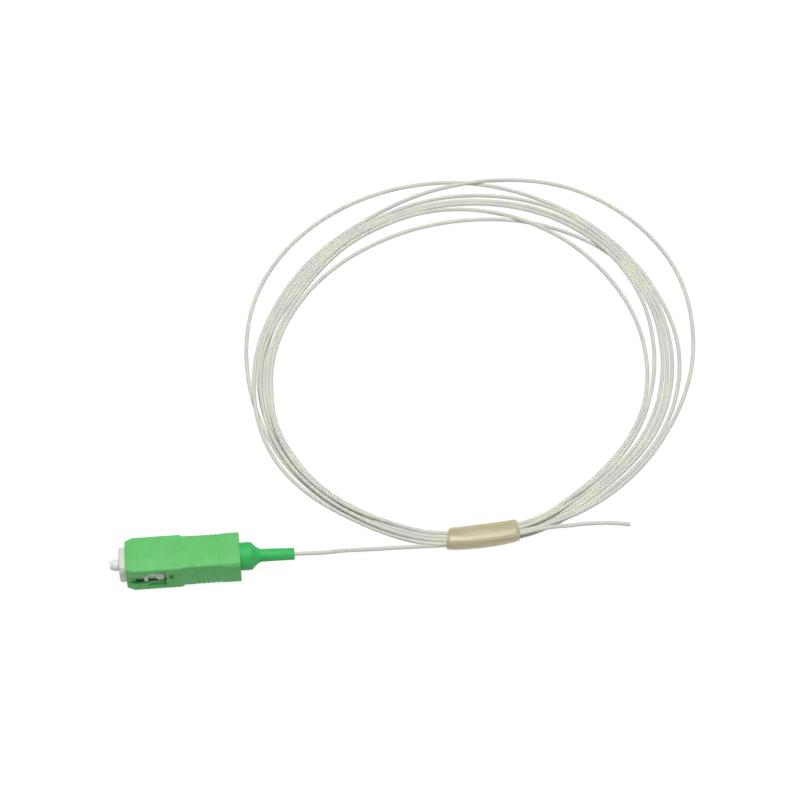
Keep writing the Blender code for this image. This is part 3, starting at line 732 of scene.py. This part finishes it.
def bright_metal(name, low, high, roughness, ring):
    """Turned or drawn metal: fine tool rings along X, a little uneven in gloss."""
    material, tree, place = new_material(name)
    rings = add_node(tree, "ShaderNodeTexWave", {
        "wave_type": "BANDS", "bands_direction": "X",
        "Scale": WAVE_REPEAT / ring, "Distortion": 0.6, "Detail": 2.0,
    }, {"Vector": place})
    colour = two_tones(tree, rings.outputs["Fac"], low, high, (0.0, 1.0))
    gloss = add_node(tree, "ShaderNodeMapRange", {"To Min": roughness - 0.04, "To Max": roughness + 0.06}, {
        "Value": rings.outputs["Fac"],
    })
    relief = add_node(tree, "ShaderNodeBump", {"Strength": 0.3, "Distance": 0.01 * MM}, {
        "Height": rings.outputs["Fac"],
    })
    use_shader(tree, {"Metallic": 1.0}, {
        "Base Color": colour,
        "Roughness": gloss.outputs["Result"],
        "Normal": relief.outputs["Normal"],
    })
    return material


def nickelled_brass():
    # Brass turned on a lathe and nickel plated: warm silver with rings every 0.15 mm.
    return bright_metal("turned_nickelled_brass", "C6BFAF", "D4CEC0", 0.24, TURNING_RING)


def spring_wire():
    # Hard-drawn stainless wire: cool grey, with the die's faint marks.
    return bright_metal("drawn_spring_steel", "A9ABAD", "BABCBE", 0.28, WIRE_MARK)


def buffer_plastic():
    # Tight buffer, an extruded translucent polymer: milky white that greys at its edges and
    # yellows slightly in thick stretches, with cloudy patches some 6 mm long.
    material, tree, place = new_material("extruded_fibre_buffer")
    cloud = add_node(tree, "ShaderNodeTexNoise", {"Scale": 1 / BUFFER_CLOUD, "Detail": 2.0}, {
        "Vector": place,
    })
    colour = two_tones(tree, cloud.outputs["Fac"], "BBBBB8", "C2C3B4", (0.35, 0.65))
    gloss = add_node(tree, "ShaderNodeMapRange", {"To Min": 0.5, "To Max": 0.62}, {
        "Value": cloud.outputs["Fac"],
    })
    use_shader(tree, {
        "subsurface_method": "BURLEY",
        "Specular IOR Level": 0.15,
        "Subsurface Weight": 0.6,
        "Subsurface Scale": 0.8 * MM,
        "Subsurface Radius": (1.0, 1.0, 1.0),
    }, {"Base Color": colour, "Roughness": gloss.outputs["Result"]})
    return material


def tie_plastic():
    # Thin extruded tube, clear once and yellowed. Its colour holds painted light: soft streaks of painted
    # highlight and shade for the fibres seen through it. The streaks follow the tie round the coil, so they
    # read the distance from the coil's middle.
    material, tree, place = new_material("extruded_tie_sleeve")
    centred = add_node(tree, "ShaderNodeMapping", {"Location": (-COIL_CENTRE[0], -COIL_CENTRE[1], 0)}, {
        "Vector": place,
    })
    parts = add_node(tree, "ShaderNodeSeparateXYZ", links={"Vector": centred.outputs["Vector"]})
    flat = add_node(tree, "ShaderNodeCombineXYZ", links={
        "X": parts.outputs["X"], "Y": parts.outputs["Y"],
    })
    radius = add_node(tree, "ShaderNodeVectorMath", {"operation": "LENGTH"}, {
        "Vector": flat.outputs["Vector"],
    })
    slow = add_node(tree, "ShaderNodeMath", {"operation": "MULTIPLY", 1: STREAK_STRETCH}, {
        0: parts.outputs["X"],
    })
    lengthwise = add_node(tree, "ShaderNodeCombineXYZ", links={
        "X": radius.outputs["Value"], "Y": parts.outputs["Z"], "Z": slow.outputs["Value"],
    })
    # Painted highlight and shade streaks of the fibres seen through the sleeve, drawn out along it; they
    # also drive a faint bump.
    painted_fibre_streaks = add_node(tree, "ShaderNodeTexNoise", {"Scale": 1 / FIBRE, "Detail": 2.0}, {
        "Vector": lengthwise.outputs["Vector"],
    })
    # The yellowed colour, made lighter and darker along the painted highlight streaks.
    colour = two_tones(tree, painted_fibre_streaks.outputs["Fac"], "D9D1AA", "ECE6CB")
    relief = add_node(tree, "ShaderNodeBump", {"Strength": 0.3, "Distance": 0.03 * MM}, {
        "Height": painted_fibre_streaks.outputs["Fac"],
    })
    use_shader(tree, {
        "Roughness": 0.3,
        "IOR": 1.4,
        "Transmission Weight": 0.6,
    }, {"Base Color": colour, "Normal": relief.outputs["Normal"]})
    return material


def pale_card():
    # Matt card that glows a little, as a lit backdrop does, so that it stays white round the part.
    material, tree, _ = new_material("pale_card_floor")
    use_shader(tree, {
        "Base Color": linear("454545"),
        "Roughness": 0.95,
        "Emission Color": (1.0, 1.0, 1.0, 1.0),
        "Emission Strength": FLOOR_GLOW,
    })
    return material


# Stage

def add_stage():
    """The soft room, the lamp overhead and the pale floor."""
    scene = bpy.context.scene
    scene.view_settings.view_transform = "Standard"
    scene.view_settings.look = "None"
    world = bpy.data.worlds.new("soft_room")
    world.use_nodes = True
    back = world.node_tree.nodes["Background"]
    back.inputs["Color"].default_value = (1.0, 1.0, 1.0, 1.0)
    back.inputs["Strength"].default_value = ROOM_LIGHT
    scene.world = world

    data = bpy.data.lights.new("overhead_softbox", "AREA")
    data.shape = "SQUARE"
    data.size = LAMP_SIZE
    data.energy = LAMP_POWER
    lamp = bpy.data.objects.new("overhead_softbox", data)
    lamp.location = LAMP_PLACE
    aim = Vector(LAMP_AIM) - lamp.location
    lamp.rotation_mode = "QUATERNION"
    lamp.rotation_quaternion = aim.to_track_quat("-Z", "Y")
    scene.collection.objects.link(lamp)

    mesh = bpy.data.meshes.new("floor")
    shape = bmesh.new()
    bmesh.ops.create_grid(shape, x_segments=1, y_segments=1, size=FLOOR_REACH)
    shape.to_mesh(mesh)
    shape.free()
    floor = bpy.data.objects.new("floor", mesh)
    scene.collection.objects.link(floor)
    mesh.materials.append(pale_card())


def finish_hidden_parts():
    """The solids that stay as they are, inside the plug."""
    brass = nickelled_brass()
    for name in ("ferrule_flange", "back_post"):
        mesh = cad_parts[name].data
        mesh.materials.clear()
        mesh.materials.append(brass)


def main():
    add_camera()
    tie = make_tie(tie_plastic())
    make_fibre(buffer_plastic())
    add_piece(
        "push_pull_grip", rounded_moulding("coupling_sleeve"), green_pbt(),
        "grip", "coupling_sleeve",
    )
    add_piece(
        "inner_housing", rounded_moulding("plug_frame"), white_pbt(),
        "plug", "plug_frame",
    )
    make_ferrule(zirconia())
    make_boot(boot_tpe())
    make_spring(spring_wire())
    finish_hidden_parts()
    add_stage()


main()
